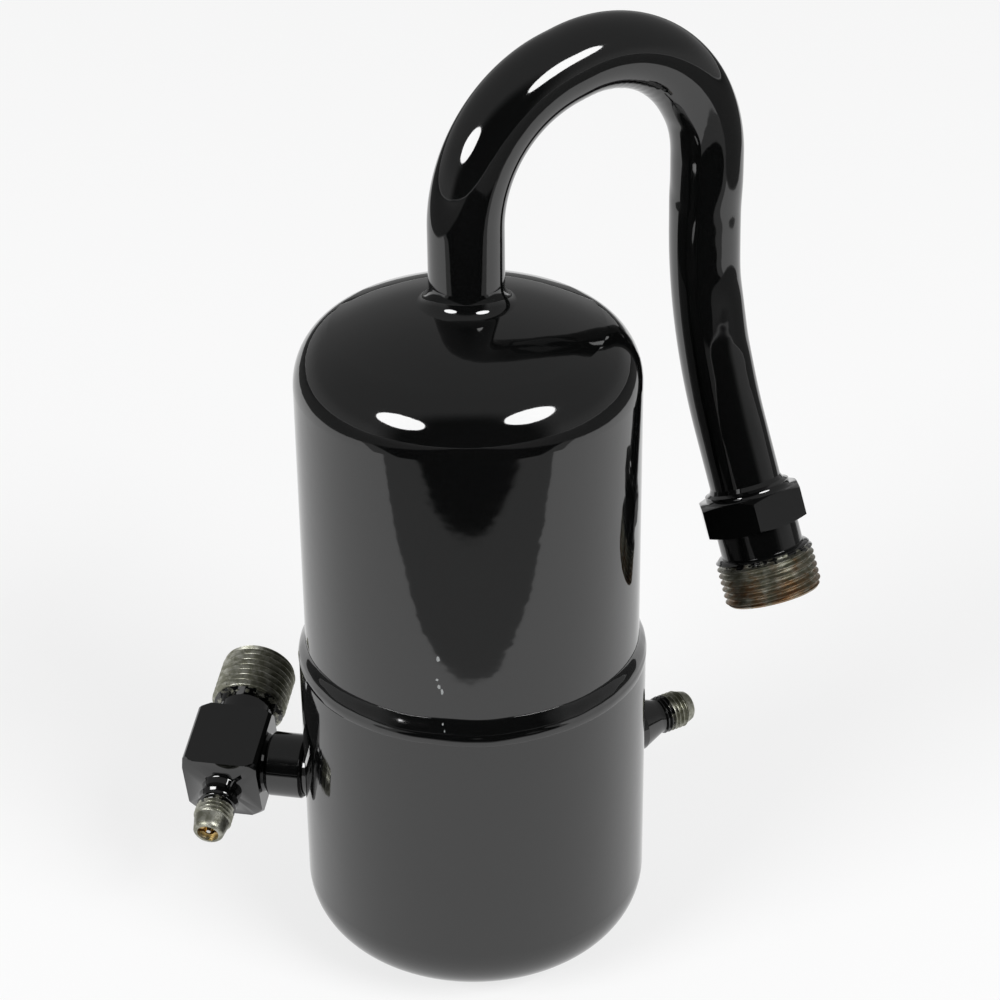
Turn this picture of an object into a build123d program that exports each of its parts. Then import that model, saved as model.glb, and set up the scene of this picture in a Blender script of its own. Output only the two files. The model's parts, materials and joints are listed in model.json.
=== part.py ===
from build123d import *
from math import asin, cos, degrees, radians, sin, sqrt
import os

# Receiver drier: a welded steel can with a gooseneck outlet, a side inlet and two valve ports.
# Millimetres. The origin is the centre of the can's foot, +Z is up, the front looks along -Y.

# Can
can_od = 76.2
shell_wall = 1.5
lap_clearance = 0.05
lap_depth = 8.0
rim_height = 77.0
crown_radius = 66.0
upper_knuckle = 13.5
lower_knuckle = 14.0
upper_tangent_height = 140.0
foot_radius = 15.0
weld_rise = 2.3
weld_drop = 3.2
weld_crown = 0.12
weld_toe_height = 0.9
weld_land = 0.25
lap_bevel = 0.4

# Joints that are brazed
braze_gap = 0.05

# Gooseneck
outlet_tube_od = 15.88
outlet_tube_wall = 1.5
outlet_tube_depth = 8.0
neck_rise = 58.1
arch_reach = 60.5
arch_azimuth = 33.3
arch_rise = 14.2
kink_reach = 61.0
kink_azimuth = 32.4
leg_drop = 75.7
tail_length = 37.7
tail_tilt = 24.3
tail_azimuth = -52.5
neck_bend_radius = 29.9
arch_bend_radius = 28.4
kink_bend_radius = 110.0
outlet_braze_width = 2.3
outlet_braze_height = 4.2
outlet_braze_root = 0.5

# Outlet fitting, along the tail from its upper face
fitting_collar_od = 18.9
fitting_collar_length = 1.2
hexagon_width = 22.0
hexagon_length = 7.5
hexagon_chamfer = 0.7
hexagon_corner_clearance = 0.05
fitting_neck_od = 18.4
fitting_neck_length = 5.7
outlet_thread_od = 21.8
outlet_thread_length = 10.7
outlet_thread_chamfer = 0.9
outlet_socket_depth = 7.0
outlet_seat_depth = 1.8
fitting_braze_width = 1.3
fitting_braze_height = 1.4
fillet_waist = 0.35

# Inlet stub, along its own axis out from the can's centre line
inlet_azimuth = 168.9
inlet_height = 37.6
stub_body_od = 14.7
stub_neck_od = 12.0
stub_bore = 9.0
stub_shoulder = 0.5
stub_stand_off = 0.9
stub_body_length = 8.3
stub_inner_reach = 2.5
stub_socket_depth = 3.4
stub_braze_width = 0.9

# Inlet block, along the axis of its thread
inlet_pitch = 15.7
block_width = 17.3
block_length = 17.7
block_corner = 0.8
block_lathe_radius = 11.7
block_lathe_chamfer = 1.2
inlet_neck_od = 13.0
inlet_neck_length = 6.4
inlet_thread_od = 17.46
inlet_thread_length = 12.8
inlet_thread_chamfer = 0.8
inlet_bore = 9.5
inlet_bore_end_wall = 3.2
inlet_seat_depth = 1.4

# Valve ports, from the tip inwards
port_thread_od = 8.8
port_neck_od = 8.1
port_tip_od = 6.9
port_tip_chamfer = 0.45
port_bore = 4.9
port_bore_depth = 8.0
port_passage = 3.2
port_seat_depth = 0.6
port_thread_undercut = 0.35

# Service port on the block
service_length = 13.2
service_nose = 3.6
service_thread_length = 4.7
service_ridge_od = 9.3
service_ridge_width = 1.5
service_ridge_from_face = 3.35
service_foot_od = 9.5
service_foot_height = 1.6

# Switch port on the can
switch_azimuth = 31.3
switch_height = 38.2
switch_stand_out = 20.4
switch_nose = 2.4
switch_thread_length = 5.9
switch_groove = 0.4
switch_cone_length = 5.8
switch_foot_od = 12.4
switch_spigot_od = 9.8
switch_inner_reach = 2.0
switch_braze_width = 2.0

# Valve cores
core_recess = 0.9
core_head_clearance = 0.05
core_head_length = 2.4
core_barrel_od = 3.8
core_length = 6.7
core_slot_width = 0.9
core_slot_depth = 0.8
chamber_od = 2.6
chamber_floor = 1.0
gasket_length = 0.8
gasket_from_head = 1.2
pin_od = 1.0
pin_running_clearance = 0.06
pin_proud = 0.3
pin_collar_od = 2.3
pin_collar_length = 0.4
pin_collar_depth = 1.7
pin_foot_od = 2.4
pin_foot_length = 0.6
seal_thickness = 0.5
seal_seat_gap = 0.05
spring_wire = 0.26
spring_mean_od = 1.8
spring_turns = 5

# Pickup tube
pickup_od = 12.7
pickup_wall = 0.9
pickup_insert = 10.0
pickup_side_gap = 2.7
pickup_azimuth = 260.0
pickup_bend_radius = 12.5
pickup_bottom = 20.0
pickup_open_drop = 14.0
bleed_hole = 1.2

# Vapour deflector
deflector_side_gap = 4.05
deflector_thickness = 1.2
deflector_drop = 4.0
deflector_skirt = 6.0
deflector_bend = 3.0
deflector_weld_leg = 1.6

# Tube clip
clip_height = 32.0
clip_width = 8.0
clip_thickness = 1.0

# Oil strainer
strainer_radius = 7.0
strainer_wall = 1.2
strainer_bottom = 4.0
strainer_top = 17.0
strainer_window_height = 5.0
strainer_window_width = 4.6
strainer_windows = 6
screen_thickness = 0.3
screen_clearance = 0.05
screen_lap = 1.0

# Desiccant bag
bag_width = 44.0
bag_thickness = 22.0
bag_bottom = 46.0
bag_top_gap = 1.0
bag_rounding = 4.5
bag_seal_width = 30.0
bag_seal_thickness = 1.6
bag_seal_edge = 0.5
bag_seal_length = 5.0
bag_gap = 0.3
strap_clearance = 0.1
strap_thickness = 0.8
strap_width = 6.0
strap_inset = 16.0

# Sizes that follow from those above
lower_radius = can_od / 2
upper_radius = lower_radius - shell_wall - lap_clearance
lower_centre_z = sqrt(crown_radius**2 - foot_radius**2)
upper_centre_z = upper_tangent_height - sqrt(
    (crown_radius - upper_knuckle) ** 2 - (upper_radius - upper_knuckle) ** 2
)
outlet_tube_bore = outlet_tube_od - 2 * outlet_tube_wall
upper_inner_radius = upper_radius - shell_wall
pickup_spacing = upper_inner_radius - pickup_side_gap - pickup_od / 2
pickup_open_end = upper_tangent_height - pickup_open_drop
deflector_radius = upper_inner_radius - deflector_side_gap
deflector_height = upper_tangent_height - deflector_drop
bag_end = deflector_height - deflector_skirt - bag_top_gap
bag_length = bag_end - bag_seal_length - bag_bottom
weld_root_radius = lower_radius - shell_wall + weld_land


def heading(azimuth, elevation=0.0):
    """Unit vector at an azimuth from +X towards +Y and an elevation above level."""
    level = cos(radians(elevation))
    return Vector(
        level * cos(radians(azimuth)), level * sin(radians(azimuth)), sin(radians(elevation))
    )


def lathe_plane(origin, axis, side):
    """Sketch plane through a turning axis: x is the radius, y runs along the axis."""
    return Plane(origin=origin, x_dir=side, z_dir=side.cross(axis))


def turn(frame, points, mode=Mode.ADD):
    """Turns a closed outline of (radius, distance along the axis) points about frame's z."""
    with BuildSketch(lathe_plane(frame.origin, frame.z_dir, frame.x_dir)) as outline:
        with BuildLine():
            Polyline(*points, close=True)
        make_face()
    revolve(outline.sketch, axis=Axis(frame.origin, frame.z_dir), mode=mode)


def dished_half(radius, crown, knuckle, centre_z, open_z, up, flat_radius=0.0):
    """Half outline of a dished can, with the head above (up=1) or below (up=-1)."""
    join = degrees(asin((radius - knuckle) / (crown - knuckle)))
    start = degrees(asin(flat_radius / crown))
    tangent_z = centre_z + up * (crown - knuckle) * cos(radians(join))
    apex_z = centre_z + up * crown * cos(radians(start))
    CenterArc((0, centre_z), crown, up * (90 - start), up * (start - join))
    CenterArc((radius - knuckle, tangent_z), knuckle, up * (90 - join), -up * (90 - join))
    Polyline((radius, tangent_z), (radius, open_z), (0, open_z), (0, apex_z))
    if flat_radius > 0:
        Line((0, apex_z), (flat_radius, apex_z))


def dome_height(radius):
    """Height of the upper head's outer surface at a radius inside its crown."""
    return upper_centre_z + sqrt(crown_radius**2 - radius**2)


# Frames of the outlet fitting, the inlet and the ports
arch_foot = heading(arch_azimuth) * arch_reach
kink_foot = heading(kink_azimuth) * kink_reach
neck_corner_z = upper_tangent_height + neck_rise
arch_corner_z = neck_corner_z + arch_rise
neck_corner = Vector(0, 0, neck_corner_z)
arch_corner = Vector(arch_foot.X, arch_foot.Y, arch_corner_z)
kink_corner = Vector(kink_foot.X, kink_foot.Y, arch_corner_z - leg_drop)
tail_axis = heading(tail_azimuth, tail_tilt - 90)
fitting_origin = kink_corner + tail_axis * tail_length
fitting_side = tail_axis.cross(Vector(1, 0, 0)).normalized()
fitting_frame = Plane(origin=fitting_origin, x_dir=fitting_side, z_dir=tail_axis)

inlet_out = heading(inlet_azimuth)
inlet_centre = Vector(0, 0, inlet_height)
stub_frame = Plane(origin=inlet_centre, x_dir=(0, 0, 1), z_dir=inlet_out)
stub_start = lower_radius + stub_stand_off
stub_end = stub_start + stub_body_length
block_reach = stub_end + stub_stand_off + block_width / 2
thread_axis = heading(inlet_azimuth - 90, inlet_pitch)
block_frame = Plane(
    origin=inlet_centre + inlet_out * block_reach, x_dir=inlet_out, z_dir=thread_axis
)

service_tip = block_frame.origin - thread_axis * (block_length / 2 + service_length)
service_frame = Plane(origin=service_tip, x_dir=inlet_out, z_dir=thread_axis * -1)
switch_out = heading(switch_azimuth)
switch_tip = Vector(0, 0, switch_height) + switch_out * (lower_radius + switch_stand_out)
switch_frame = Plane(origin=switch_tip, x_dir=(0, 0, 1), z_dir=switch_out)

# Upper shell
with BuildPart() as upper_shell:
    with BuildSketch(Plane.XZ):
        with BuildLine():
            dished_half(
                upper_radius, crown_radius, upper_knuckle, upper_centre_z,
                rim_height - lap_depth, 1,
            )
        make_face()
        with BuildLine():
            dished_half(
                upper_radius - shell_wall, crown_radius - shell_wall,
                upper_knuckle - shell_wall, upper_centre_z, rim_height - lap_depth, 1,
            )
        make_face(mode=Mode.SUBTRACT)
    revolve(axis=Axis.Z)
    with BuildSketch(Plane.XY.offset(upper_centre_z)):
        Circle(outlet_tube_od / 2 + braze_gap)
    extrude(amount=crown_radius + shell_wall, mode=Mode.SUBTRACT)
    lap_edges = upper_shell.edges().filter_by(GeomType.CIRCLE).group_by(Axis.Z)[0]
    chamfer(lap_edges, lap_bevel)

# Lower shell
with BuildPart() as lower_shell:
    with BuildSketch(Plane.XZ):
        with BuildLine():
            dished_half(
                lower_radius, crown_radius, lower_knuckle, lower_centre_z,
                rim_height, -1, foot_radius,
            )
        make_face()
        inner_crown = crown_radius - shell_wall
        inner_foot = sqrt(inner_crown**2 - (lower_centre_z - shell_wall) ** 2)
        with BuildLine():
            dished_half(
                lower_radius - shell_wall, inner_crown, lower_knuckle - shell_wall,
                lower_centre_z, rim_height, -1, inner_foot,
            )
        make_face(mode=Mode.SUBTRACT)
        with BuildLine():
            Polyline(
                (lower_radius, rim_height - weld_drop),
                (lower_radius, rim_height),
                (weld_root_radius, rim_height),
                close=True,
            )
        make_face(mode=Mode.SUBTRACT)
    revolve(axis=Axis.Z)
    with BuildSketch(stub_frame):
        Circle(stub_neck_od / 2 + braze_gap)
    extrude(amount=can_od, mode=Mode.SUBTRACT)
    with BuildSketch(Plane(origin=(0, 0, switch_height), z_dir=switch_out)):
        Circle(switch_spigot_od / 2 + braze_gap)
    extrude(amount=can_od, mode=Mode.SUBTRACT)

# Weld bead on the lap joint
with BuildPart() as seam_weld:
    crest = (lower_radius + weld_crown, rim_height - weld_drop + weld_toe_height)
    with BuildSketch(Plane.XZ):
        with BuildLine():
            Spline(
                (upper_radius, rim_height + weld_rise),
                crest,
                (lower_radius, rim_height - weld_drop),
            )
            Polyline(
                (lower_radius, rim_height - weld_drop),
                (weld_root_radius, rim_height),
                (upper_radius, rim_height),
                (upper_radius, rim_height + weld_rise),
            )
        make_face()
    revolve(axis=Axis.Z)

# Gooseneck outlet tube, from inside the head to the bottom of the fitting's socket
tube_inner_end = dome_height(0) - shell_wall - outlet_tube_depth
with BuildPart() as outlet_tube:
    with BuildLine():
        FilletPolyline(
            (0, 0, tube_inner_end),
            neck_corner,
            arch_corner,
            kink_corner,
            fitting_origin + tail_axis * outlet_socket_depth,
            radius=[neck_bend_radius, arch_bend_radius, kink_bend_radius],
        )
    with BuildSketch(Plane.XY.offset(tube_inner_end)):
        Circle(outlet_tube_od / 2)
        Circle(outlet_tube_bore / 2, mode=Mode.SUBTRACT)
    sweep()

# Braze fillet where the tube enters the head
with BuildPart() as outlet_tube_braze:
    tube_radius = outlet_tube_od / 2
    braze_radius = tube_radius + outlet_braze_width
    middle_radius = tube_radius + outlet_braze_width / 2
    top_point = (tube_radius, dome_height(tube_radius) + outlet_braze_height)
    toe_point = (braze_radius, dome_height(braze_radius))
    root_point = (tube_radius, dome_height(tube_radius) + outlet_braze_root)
    with BuildSketch(Plane.XZ):
        with BuildLine():
            Bezier(top_point, root_point, toe_point)
            ThreePointArc(
                toe_point,
                (middle_radius, dome_height(middle_radius)),
                (tube_radius, dome_height(tube_radius)),
            )
            Line((tube_radius, dome_height(tube_radius)), top_point)
        make_face()
    revolve(axis=Axis.Z)

# Outlet fitting: collar, hexagon, neck and male thread, bored through
hexagon_start = fitting_collar_length
hexagon_end = hexagon_start + hexagon_length
thread_start = hexagon_end + fitting_neck_length
thread_end = thread_start + outlet_thread_length
with BuildPart() as outlet_fitting:
    with BuildSketch(fitting_frame.offset(hexagon_start)):
        RegularPolygon(hexagon_width / 2, 6, major_radius=False)
    extrude(amount=hexagon_length)
    face_radius = hexagon_width / 2
    corner_radius = face_radius / cos(radians(30)) + hexagon_corner_clearance
    turn(
        fitting_frame,
        [
            (0, hexagon_start),
            (face_radius, hexagon_start),
            (corner_radius, hexagon_start + hexagon_chamfer),
            (corner_radius, hexagon_end - hexagon_chamfer),
            (face_radius, hexagon_end),
            (0, hexagon_end),
        ],
        mode=Mode.INTERSECT,
    )
    thread_root = outlet_thread_od / 2 - outlet_thread_chamfer
    turn(
        fitting_frame,
        [
            (0, 0),
            (fitting_collar_od / 2, 0),
            (fitting_collar_od / 2, hexagon_start),
            (fitting_neck_od / 2, hexagon_end),
            (fitting_neck_od / 2, thread_start),
            (thread_root, thread_start),
            (outlet_thread_od / 2, thread_start + outlet_thread_chamfer),
            (outlet_thread_od / 2, thread_end - outlet_thread_chamfer),
            (thread_root, thread_end),
            (0, thread_end),
        ],
    )
    seat_radius = outlet_tube_bore / 2 + outlet_seat_depth
    turn(
        fitting_frame,
        [
            (0, 0),
            (outlet_tube_od / 2 + braze_gap, 0),
            (outlet_tube_od / 2 + braze_gap, outlet_socket_depth),
            (outlet_tube_bore / 2, outlet_socket_depth),
            (outlet_tube_bore / 2, thread_end - outlet_seat_depth),
            (seat_radius, thread_end),
            (0, thread_end),
        ],
        mode=Mode.SUBTRACT,
    )

# Braze ring between tube and fitting
with BuildPart() as outlet_fitting_braze:
    turn(
        fitting_frame,
        [
            (outlet_tube_od / 2, 0),
            (outlet_tube_od / 2, -fitting_braze_height),
            (
                outlet_tube_od / 2 + fitting_braze_width * fillet_waist,
                -fitting_braze_height * fillet_waist,
            ),
            (outlet_tube_od / 2 + fitting_braze_width, 0),
        ],
    )

# Inlet stub: a short tube, necked down to enter the can and the block
stub_radius = stub_body_od / 2
stub_neck_radius = stub_neck_od / 2
with BuildPart() as inlet_stub:
    stub_tail = lower_radius - shell_wall - stub_inner_reach
    stub_nose = stub_end + stub_stand_off + stub_socket_depth
    turn(
        stub_frame,
        [
            (stub_bore / 2, stub_tail),
            (stub_neck_radius, stub_tail),
            (stub_neck_radius, stub_start),
            (stub_radius - stub_shoulder, stub_start),
            (stub_radius, stub_start + stub_shoulder),
            (stub_radius, stub_end - stub_shoulder),
            (stub_radius - stub_shoulder, stub_end),
            (stub_neck_radius, stub_end),
            (stub_neck_radius, stub_nose),
            (stub_bore / 2, stub_nose),
        ],
    )
    stub_edges = inlet_stub.edges().filter_by(GeomType.CIRCLE)
    shoulder_edges = stub_edges.filter_by(
        lambda edge: abs(edge.radius - stub_radius) < stub_shoulder / 10
    )
    fillet(shoulder_edges, stub_shoulder / 2)

# Braze ring between the stub and the can's wall
with BuildPart() as inlet_stub_braze:
    turn(
        stub_frame,
        [
            (stub_neck_radius, lower_radius - shell_wall),
            (stub_neck_radius + stub_braze_width, lower_radius - shell_wall),
            (stub_neck_radius + stub_braze_width * fillet_waist, stub_start),
            (stub_neck_radius, stub_start),
        ],
    )
    Cylinder(
        lower_radius,
        rim_height,
        align=(Align.CENTER, Align.CENTER, Align.MIN),
        mode=Mode.SUBTRACT,
    )

# Braze ring between the stub and the block
with BuildPart() as inlet_block_braze:
    turn(
        stub_frame,
        [
            (stub_neck_radius, stub_end),
            (stub_neck_radius + stub_braze_width * fillet_waist, stub_end),
            (stub_neck_radius + stub_braze_width, stub_end + stub_stand_off),
            (stub_neck_radius, stub_end + stub_stand_off),
        ],
    )


def port_nose(nose_length, thread_length):
    """Outline of a port from its tip to the root of its thread, measured inwards."""
    thread_radius = port_thread_od / 2
    root_radius = thread_radius - port_thread_undercut
    thread_root = nose_length + thread_length
    return [
        (0, 0),
        (port_tip_od / 2 - port_tip_chamfer, 0),
        (port_tip_od / 2, -port_tip_chamfer),
        (root_radius, -nose_length),
        (thread_radius, -nose_length - port_thread_undercut),
        (thread_radius, -thread_root),
        (port_neck_od / 2, -thread_root - port_thread_undercut),
    ]


def port_bore_outline(passage_end):
    """Outline of a port's stepped bore, from its tip to the far end of the passage."""
    return [
        (0, 0),
        (port_bore / 2, 0),
        (port_bore / 2, -port_bore_depth),
        (port_passage / 2, -port_bore_depth - port_seat_depth),
        (port_passage / 2, -passage_end),
        (0, -passage_end),
    ]


# Inlet block: square bar turned at both ends, with the inlet thread and the service port
half_block = block_length / 2
inlet_thread_start = half_block + inlet_neck_length
inlet_thread_end = inlet_thread_start + inlet_thread_length
ridge_depth = service_length - service_ridge_from_face
with BuildPart() as inlet_block:
    with BuildSketch(block_frame):
        RectangleRounded(block_width, block_width, block_corner)
    extrude(amount=half_block, both=True)
    chamfer_radius = block_lathe_radius - block_lathe_chamfer
    turn(
        block_frame,
        [
            (0, -half_block),
            (chamfer_radius, -half_block),
            (block_lathe_radius, block_lathe_chamfer - half_block),
            (block_lathe_radius, half_block - block_lathe_chamfer),
            (chamfer_radius, half_block),
            (0, half_block),
        ],
        mode=Mode.INTERSECT,
    )
    inlet_root = inlet_thread_od / 2 - inlet_thread_chamfer
    turn(
        block_frame,
        [
            (0, 0),
            (inlet_neck_od / 2, 0),
            (inlet_neck_od / 2, inlet_thread_start),
            (inlet_root, inlet_thread_start),
            (inlet_thread_od / 2, inlet_thread_start + inlet_thread_chamfer / 2),
            (inlet_thread_od / 2, inlet_thread_end - inlet_thread_chamfer),
            (inlet_root, inlet_thread_end),
            (0, inlet_thread_end),
        ],
    )
    turn(
        service_frame,
        port_nose(service_nose, service_thread_length)
        + [
            (port_neck_od / 2, service_ridge_width / 2 - ridge_depth),
            (service_ridge_od / 2, -ridge_depth),
            (port_neck_od / 2, -service_ridge_width / 2 - ridge_depth),
            (port_neck_od / 2, service_foot_height - service_length),
            (service_foot_od / 2, -service_length),
            (service_foot_od / 2, -service_length - block_lathe_chamfer),
            (0, -service_length - block_lathe_chamfer),
        ],
    )
    bore_radius = inlet_bore / 2
    bore_floor = inlet_bore_end_wall - half_block
    turn(
        block_frame,
        [
            (0, bore_floor),
            (bore_radius, bore_floor),
            (bore_radius, inlet_thread_end - inlet_seat_depth),
            (bore_radius + inlet_seat_depth, inlet_thread_end),
            (0, inlet_thread_end),
        ],
        mode=Mode.SUBTRACT,
    )
    turn(
        stub_frame,
        [
            (0, stub_end),
            (stub_neck_radius + braze_gap, stub_end),
            (stub_neck_radius + braze_gap, stub_nose),
            (stub_bore / 2, stub_nose),
            (stub_bore / 2, block_reach),
            (0, block_reach),
        ],
        mode=Mode.SUBTRACT,
    )
    turn(
        service_frame,
        port_bore_outline(service_length + inlet_bore_end_wall + port_seat_depth),
        mode=Mode.SUBTRACT,
    )

# Switch port: turned fitting on a conical foot, brazed through the can's wall
switch_thread_root = switch_nose + switch_thread_length + port_thread_undercut
switch_cone_top = switch_thread_root + switch_groove
switch_cone_foot = switch_cone_top + switch_cone_length
wall_depth = switch_stand_out + shell_wall
with BuildPart() as switch_port:
    turn(
        switch_frame,
        port_nose(switch_nose, switch_thread_length)
        + [
            (port_neck_od / 2, -switch_cone_top),
            (switch_foot_od / 2, -switch_cone_foot),
            (switch_foot_od / 2, -wall_depth),
            (0, -wall_depth),
        ],
    )
    Cylinder(
        lower_radius + braze_gap,
        rim_height,
        align=(Align.CENTER, Align.CENTER, Align.MIN),
        mode=Mode.SUBTRACT,
    )
    turn(
        switch_frame,
        [
            (0, -switch_cone_foot),
            (switch_spigot_od / 2, -switch_cone_foot),
            (switch_spigot_od / 2, -wall_depth - switch_inner_reach),
            (0, -wall_depth - switch_inner_reach),
        ],
    )
    turn(
        switch_frame,
        port_bore_outline(wall_depth + switch_inner_reach),
        mode=Mode.SUBTRACT,
    )

# Braze fillet between the switch port and the can's wall
with BuildPart() as switch_port_braze:
    switch_foot_radius = switch_foot_od / 2
    turn(
        switch_frame,
        [
            (switch_foot_radius, -wall_depth),
            (switch_foot_radius, -switch_stand_out + switch_braze_width),
            (
                switch_foot_radius + switch_braze_width * fillet_waist,
                switch_braze_width * fillet_waist - switch_stand_out,
            ),
            (switch_foot_radius + switch_braze_width, -switch_stand_out - braze_gap),
            (switch_foot_radius + switch_braze_width, -wall_depth),
        ],
    )
    Cylinder(
        lower_radius,
        rim_height,
        align=(Align.CENTER, Align.CENTER, Align.MIN),
        mode=Mode.SUBTRACT,
    )


# Valve core and its moving pieces, made alike for both ports
core_end = core_recess + core_length
chamber_end = core_end - chamber_floor
collar_top = core_recess + pin_collar_depth
collar_end = collar_top + pin_collar_length
seal_start = core_end + seal_seat_gap
seal_end = seal_start + seal_thickness


def build_core(frame):
    """Brass core: threaded head with a driver slot, barrel and spring chamber."""
    head_radius = port_bore / 2 - core_head_clearance
    head_end = core_recess + core_head_length
    hole_radius = pin_od / 2 + pin_running_clearance
    with BuildPart() as core:
        turn(
            frame,
            [
                (chamber_od / 2, -core_recess),
                (head_radius, -core_recess),
                (head_radius, -head_end),
                (core_barrel_od / 2, -head_end),
                (core_barrel_od / 2, -core_end),
                (hole_radius, -core_end),
                (hole_radius, -chamber_end),
                (chamber_od / 2, -chamber_end),
            ],
        )
        with BuildSketch(frame.offset(-core_recess)):
            Rectangle(port_bore, core_slot_width)
        extrude(amount=-core_slot_depth, mode=Mode.SUBTRACT)
    return core


def build_gasket(frame):
    """Ring that seals the barrel in the port's bore."""
    top = core_recess + core_head_length + gasket_from_head
    with BuildPart() as gasket:
        turn(
            frame,
            [
                (core_barrel_od / 2, -top),
                (port_bore / 2, -top),
                (port_bore / 2, -top - gasket_length),
                (core_barrel_od / 2, -top - gasket_length),
            ],
        )
    return gasket


def build_pin(frame):
    """Pin with the collar that the spring lifts and the foot that carries the seal."""
    pin_top = core_recess - pin_proud
    with BuildPart() as pin:
        turn(
            frame,
            [
                (0, -pin_top),
                (pin_od / 2, -pin_top),
                (pin_od / 2, -collar_top),
                (pin_collar_od / 2, -collar_top),
                (pin_collar_od / 2, -collar_end),
                (pin_od / 2, -collar_end),
                (pin_od / 2, -seal_end),
                (pin_foot_od / 2, -seal_end),
                (pin_foot_od / 2, -seal_end - pin_foot_length),
                (0, -seal_end - pin_foot_length),
            ],
        )
    return pin


def build_seal(frame):
    """Rubber washer that closes the core's lower end."""
    with BuildPart() as seal:
        turn(
            frame,
            [
                (pin_od / 2, -seal_start),
                (pin_foot_od / 2, -seal_start),
                (pin_foot_od / 2, -seal_end),
                (pin_od / 2, -seal_end),
            ],
        )
    return seal


def build_spring(frame):
    """Coil spring between the chamber's floor and the pin's collar."""
    wire_radius = spring_wire / 2
    height = chamber_end - collar_end - spring_wire
    foot = frame.offset(wire_radius - chamber_end)
    with BuildPart() as spring:
        with BuildLine():
            coil = Helix(
                height / spring_turns,
                height,
                spring_mean_od / 2,
                center=foot.origin,
                direction=foot.z_dir,
            )
        with BuildSketch(Plane(origin=coil @ 0, z_dir=coil % 0)):
            RegularPolygon(wire_radius, 6)
        sweep(path=coil, is_frenet=True)
    return spring


valve_pieces = {}
for port_name, port_frame in (("service", service_frame), ("switch", switch_frame)):
    valve_pieces[port_name + "_valve_core"] = build_core(port_frame)
    valve_pieces[port_name + "_core_gasket"] = build_gasket(port_frame)
    valve_pieces[port_name + "_valve_pin"] = build_pin(port_frame)
    valve_pieces[port_name + "_valve_seal"] = build_seal(port_frame)
    valve_pieces[port_name + "_valve_spring"] = build_spring(port_frame)

# Pickup tube: from inside the outlet tube, down, round the bleed and up to its open end
pickup_out = heading(pickup_azimuth)
pickup_top = tube_inner_end + pickup_insert
leg_foot = pickup_out * pickup_spacing
bleed_foot = pickup_out * (pickup_spacing / 2)


def pickup_path():
    """Centre line of the pickup tube, from its upper end."""
    FilletPolyline(
        (0, 0, pickup_top),
        (0, 0, pickup_bottom),
        (leg_foot.X, leg_foot.Y, pickup_bottom),
        (leg_foot.X, leg_foot.Y, pickup_open_end),
        radius=pickup_bend_radius,
    )


with BuildPart() as pickup_tube:
    with BuildLine():
        pickup_path()
    with BuildSketch(Plane.XY.offset(pickup_top)):
        Circle(pickup_od / 2)
        Circle(pickup_od / 2 - pickup_wall, mode=Mode.SUBTRACT)
    sweep()
    with BuildSketch(Plane.XY.offset(pickup_bottom - pickup_od)):
        with Locations((bleed_foot.X, bleed_foot.Y)):
            Circle(bleed_hole / 2)
    extrude(amount=pickup_od, mode=Mode.SUBTRACT)

# Vapour deflector: shallow dish pierced by the tube's first leg
with BuildPart() as vapour_deflector:
    with BuildSketch(Plane.XY.offset(deflector_height)):
        Circle(deflector_radius)
    extrude(amount=-deflector_skirt)
    fillet(vapour_deflector.edges().group_by(Axis.Z)[-1], deflector_bend)
    offset(
        amount=-deflector_thickness,
        openings=vapour_deflector.faces().sort_by(Axis.Z)[0],
        kind=Kind.INTERSECTION,
    )
    with BuildSketch(Plane.XY.offset(deflector_height)):
        Circle(pickup_od / 2 + braze_gap)
    extrude(amount=-deflector_skirt, mode=Mode.SUBTRACT)

with BuildPart() as deflector_weld:
    with BuildSketch(Plane.XZ):
        with BuildLine():
            Polyline(
                (pickup_od / 2, deflector_height),
                (pickup_od / 2 + deflector_weld_leg, deflector_height),
                (pickup_od / 2, deflector_height + deflector_weld_leg),
                close=True,
            )
        make_face()
    revolve(axis=Axis.Z)

# Clip round both legs of the pickup tube
with BuildPart() as tube_clip:
    clip_plane = Plane(origin=bleed_foot + Vector(0, 0, clip_height), x_dir=pickup_out)
    grip = pickup_od + 2 * braze_gap
    with BuildSketch(clip_plane):
        SlotCenterToCenter(pickup_spacing, grip + 2 * clip_thickness)
        SlotCenterToCenter(pickup_spacing, grip, mode=Mode.SUBTRACT)
    extrude(amount=clip_width)

# Oil strainer under the bleed hole
with BuildPart() as strainer_body:
    strainer_plane = Plane(origin=bleed_foot + Vector(0, 0, strainer_bottom))
    with BuildSketch(strainer_plane):
        Circle(strainer_radius)
    extrude(amount=strainer_top - strainer_bottom)
    with BuildSketch(strainer_plane.offset(strainer_wall)):
        Circle(strainer_radius - strainer_wall)
    extrude(amount=strainer_top, mode=Mode.SUBTRACT)
    window_height = strainer_wall + screen_lap + strainer_window_height / 2
    with BuildSketch(strainer_plane.offset(window_height)):
        with PolarLocations(strainer_radius, strainer_windows):
            Rectangle(strainer_radius, strainer_window_width)
    extrude(amount=strainer_window_height / 2, both=True, mode=Mode.SUBTRACT)
    with BuildLine():
        pickup_path()
    with BuildSketch(Plane.XY.offset(pickup_top)):
        Circle(pickup_od / 2 + braze_gap)
    sweep(mode=Mode.SUBTRACT)

with BuildPart() as strainer_screen:
    screen_radius = strainer_radius + screen_clearance
    with BuildSketch(strainer_plane.offset(strainer_wall)):
        Circle(screen_radius + screen_thickness)
        Circle(screen_radius, mode=Mode.SUBTRACT)
    extrude(amount=strainer_window_height + 2 * screen_lap)

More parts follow.
